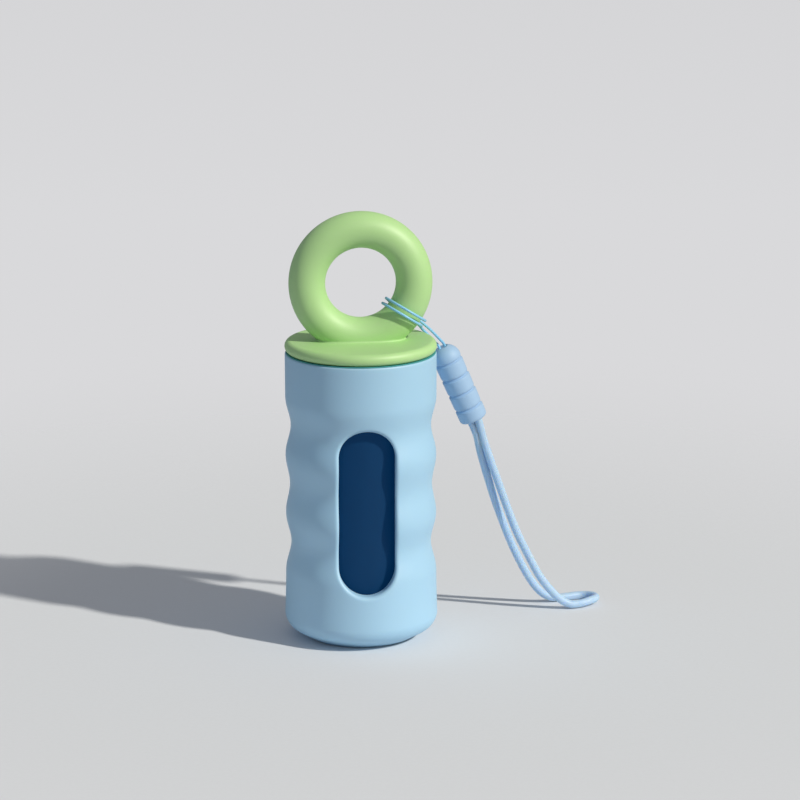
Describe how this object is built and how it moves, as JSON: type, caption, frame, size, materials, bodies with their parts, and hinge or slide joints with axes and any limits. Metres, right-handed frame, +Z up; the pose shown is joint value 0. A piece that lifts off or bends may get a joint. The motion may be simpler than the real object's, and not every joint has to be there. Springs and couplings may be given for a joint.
{
  "type": "dog poop bag dispenser",
  "caption": "Wavy round bag dispenser with a window for pulling bags, a screw lid with a ring handle, and a corded wrist strap with a ribbed sleeve.",
  "frame": {"origin": "centre of the base, on the surface that the dispenser stands on", "axes": "+Z up along the shell, the window faces -Y, the ring handle lies in the XZ plane"},
  "size_m": [0.086, 0.0451, 0.112],
  "materials": {
    "shell_plastic": "satin sky blue",
    "lid_plastic": "satin light green",
    "seal_rubber": "dark blue rubber",
    "bag_film": "navy film, soft sheen",
    "core_card": "grey-brown card",
    "thin_cord": "smooth bright blue cord",
    "sleeve_rubber": "satin light blue",
    "crimp_metal": "plain metal",
    "thick_cord": "smooth light blue cord"
  },
  "bodies": {
    "shell": {"body_shell": "shell_plastic"},
    "roll": {"bag_roll": "bag_film", "bag_tail": "bag_film", "roll_core": "core_card"},
    "seal": {"seal_ring": "seal_rubber"},
    "lid": {"lid": "lid_plastic"},
    "hitch": {"hitch_cord": "thin_cord"},
    "strap": {"hitch_cord_ends": "thin_cord", "sleeve": "sleeve_rubber", "cord_crimp": "crimp_metal", "wrist_cord": "thick_cord"}
  },
  "joints": [
    {"name": "roll_spin", "type": "hinge", "parent": "shell", "child": "roll", "pos_m": [0, 0, 0.034], "axis": [0, 0, 1], "continuous": true},
    {"name": "lid_rise", "type": "slide", "parent": "shell", "child": "seal", "axis": [0, 0, 1], "range_m": [0, 0.006]},
    {"name": "lid_turn", "type": "hinge", "parent": "seal", "child": "lid", "pos_m": [0, 0, 0.0754], "axis": [0, 0, 1], "range_deg": [0, 540]},
    {"name": "strap_swing", "type": "hinge", "parent": "lid", "child": "hitch", "pos_m": [0.01124, 0, 0.08549], "axis": [0.5807, 0, 0.8141], "range_deg": [0, 30]},
    {"name": "strap_lift", "type": "hinge", "parent": "hitch", "child": "strap", "pos_m": [0.02258, 0.00828, 0.0749], "axis": [0.1142, -0.9935, 0], "range_deg": [0, 50]}
  ],
  "couplings": [
    {"joint": "lid_rise", "follows": "lid_turn", "m_per_rad": 0.0006366}
  ]
}
